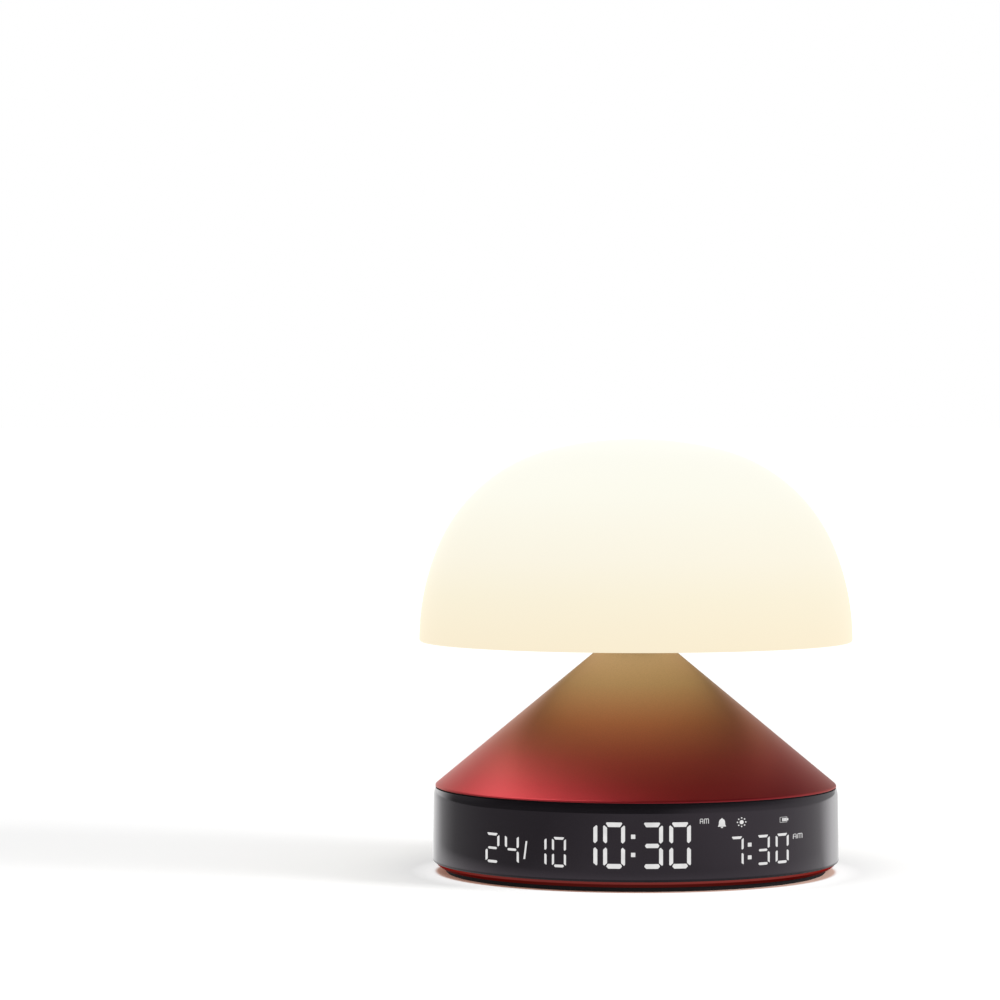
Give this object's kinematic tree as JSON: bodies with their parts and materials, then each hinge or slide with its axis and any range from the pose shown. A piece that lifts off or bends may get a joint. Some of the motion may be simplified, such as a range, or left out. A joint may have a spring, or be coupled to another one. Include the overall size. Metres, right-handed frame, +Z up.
{
  "type": "sunrise alarm clock",
  "caption": "Mushroom-shaped bedside light and alarm clock: a lit opal dome that presses down on a satin red cone, over a round black base with a curved segment display.",
  "frame": {"origin": "centre of the rubber foot's underside, on the table", "axes": "+Z up along the object's axis, -Y out of the middle of the display, +X to the right as seen from the front"},
  "size_m": [0.1226, 0.1226, 0.1225],
  "materials": {
    "opal_polycarbonate": "satin opal, lit from inside",
    "white_plastic": "matt moulded",
    "bare_aluminium": "satin",
    "white_circuit_board": "white solder mask",
    "lamp_led": "phosphor lens",
    "zinc_steel": "zinc plated",
    "dark_plastic": "matt moulded",
    "black_plastic": "fine moulded texture",
    "turned_aluminium": "turned",
    "nylon": "natural",
    "spring_steel": "bright drawn",
    "green_circuit_board": "green solder mask",
    "switch_steel": "plated sheet",
    "wire_insulation": "soft sleeve",
    "connector_nylon": "natural",
    "red_anodised_aluminium": "satin, dyed and anodised",
    "black_rubber": "matt",
    "gloss_black_acrylic": "polished",
    "diffusing_film": "frosted film",
    "reflector_plastic": "matt moulded",
    "display_led": "white die",
    "battery_wrap": "heat-shrink sleeve over a steel can",
    "black_paper": "pressed pulp",
    "button_rubber_plastic": "satin moulded"
  },
  "bodies": {
    "base": {"base_chassis": "black_plastic", "neck_post": "turned_aluminium", "neck_screws": "zinc_steel", "neck_washer": "nylon", "head_return_spring": "spring_steel", "neck_retaining_ring": "spring_steel", "neck_board": "green_circuit_board", "head_switch": "switch_steel", "head_leads": "wire_insulation", "lamp_cable": "wire_insulation", "lamp_socket": "connector_nylon", "cone_shell": "red_anodised_aluminium", "cone_liner": "black_plastic", "cone_gasket": "black_rubber", "cone_screws": "zinc_steel", "display_band": "gloss_black_acrylic", "display_diffuser": "diffusing_film", "display_reflector": "reflector_plastic", "display_board": "green_circuit_board", "display_leds": "display_led", "base_trim_ring": "red_anodised_aluminium", "bottom_cover": "black_plastic", "foot_ring": "black_rubber", "bottom_screws": "zinc_steel", "main_board": "green_circuit_board", "board_components": "dark_plastic", "board_screws": "zinc_steel", "battery_cell": "battery_wrap", "battery_holder": "black_plastic", "battery_screws": "zinc_steel", "speaker_basket": "switch_steel", "speaker_magnet": "switch_steel", "speaker_cone": "black_paper", "speaker_gasket": "black_rubber", "speaker_screws": "zinc_steel", "usb_board": "green_circuit_board", "usb_socket": "switch_steel", "usb_tongue": "dark_plastic", "button_board": "green_circuit_board", "button_board_screws": "zinc_steel", "button_switches": "switch_steel"},
    "head": {"shade": "opal_polycarbonate", "shade_underside": "opal_polycarbonate", "head_hub": "white_plastic", "led_carrier": "bare_aluminium", "led_board": "white_circuit_board", "led_emitters": "lamp_led", "carrier_screws": "zinc_steel", "head_switch_plunger": "dark_plastic"},
    "alarm_button": {"alarm_button": "button_rubber_plastic"},
    "down_button": {"down_button": "button_rubber_plastic"},
    "set_button": {"set_button": "button_rubber_plastic"},
    "up_button": {"up_button": "button_rubber_plastic"},
    "sound_button": {"sound_button": "button_rubber_plastic"}
  },
  "joints": [
    {"name": "head_press", "type": "slide", "parent": "base", "child": "head", "axis": [0, 0, -1], "range_m": [0, 0.0008], "stiffness_N_per_m": 3000, "springref_m": -0.0008, "deforming": ["head_return_spring", "head_leads"]},
    {"name": "alarm_press", "type": "slide", "parent": "base", "child": "alarm_button", "axis": [0, -1, 0], "range_m": [0, 0.0006], "stiffness_N_per_m": 900, "springref_m": -0.0004},
    {"name": "down_press", "type": "slide", "parent": "base", "child": "down_button", "axis": [0, -1, 0], "range_m": [0, 0.0006], "stiffness_N_per_m": 900, "springref_m": -0.0004},
    {"name": "set_press", "type": "slide", "parent": "base", "child": "set_button", "axis": [0, -1, 0], "range_m": [0, 0.0006], "stiffness_N_per_m": 900, "springref_m": -0.0004},
    {"name": "up_press", "type": "slide", "parent": "base", "child": "up_button", "axis": [0, -1, 0], "range_m": [0, 0.0006], "stiffness_N_per_m": 900, "springref_m": -0.0004},
    {"name": "sound_press", "type": "slide", "parent": "base", "child": "sound_button", "axis": [0, -1, 0], "range_m": [0, 0.0006], "stiffness_N_per_m": 900, "springref_m": -0.0004}
  ]
}
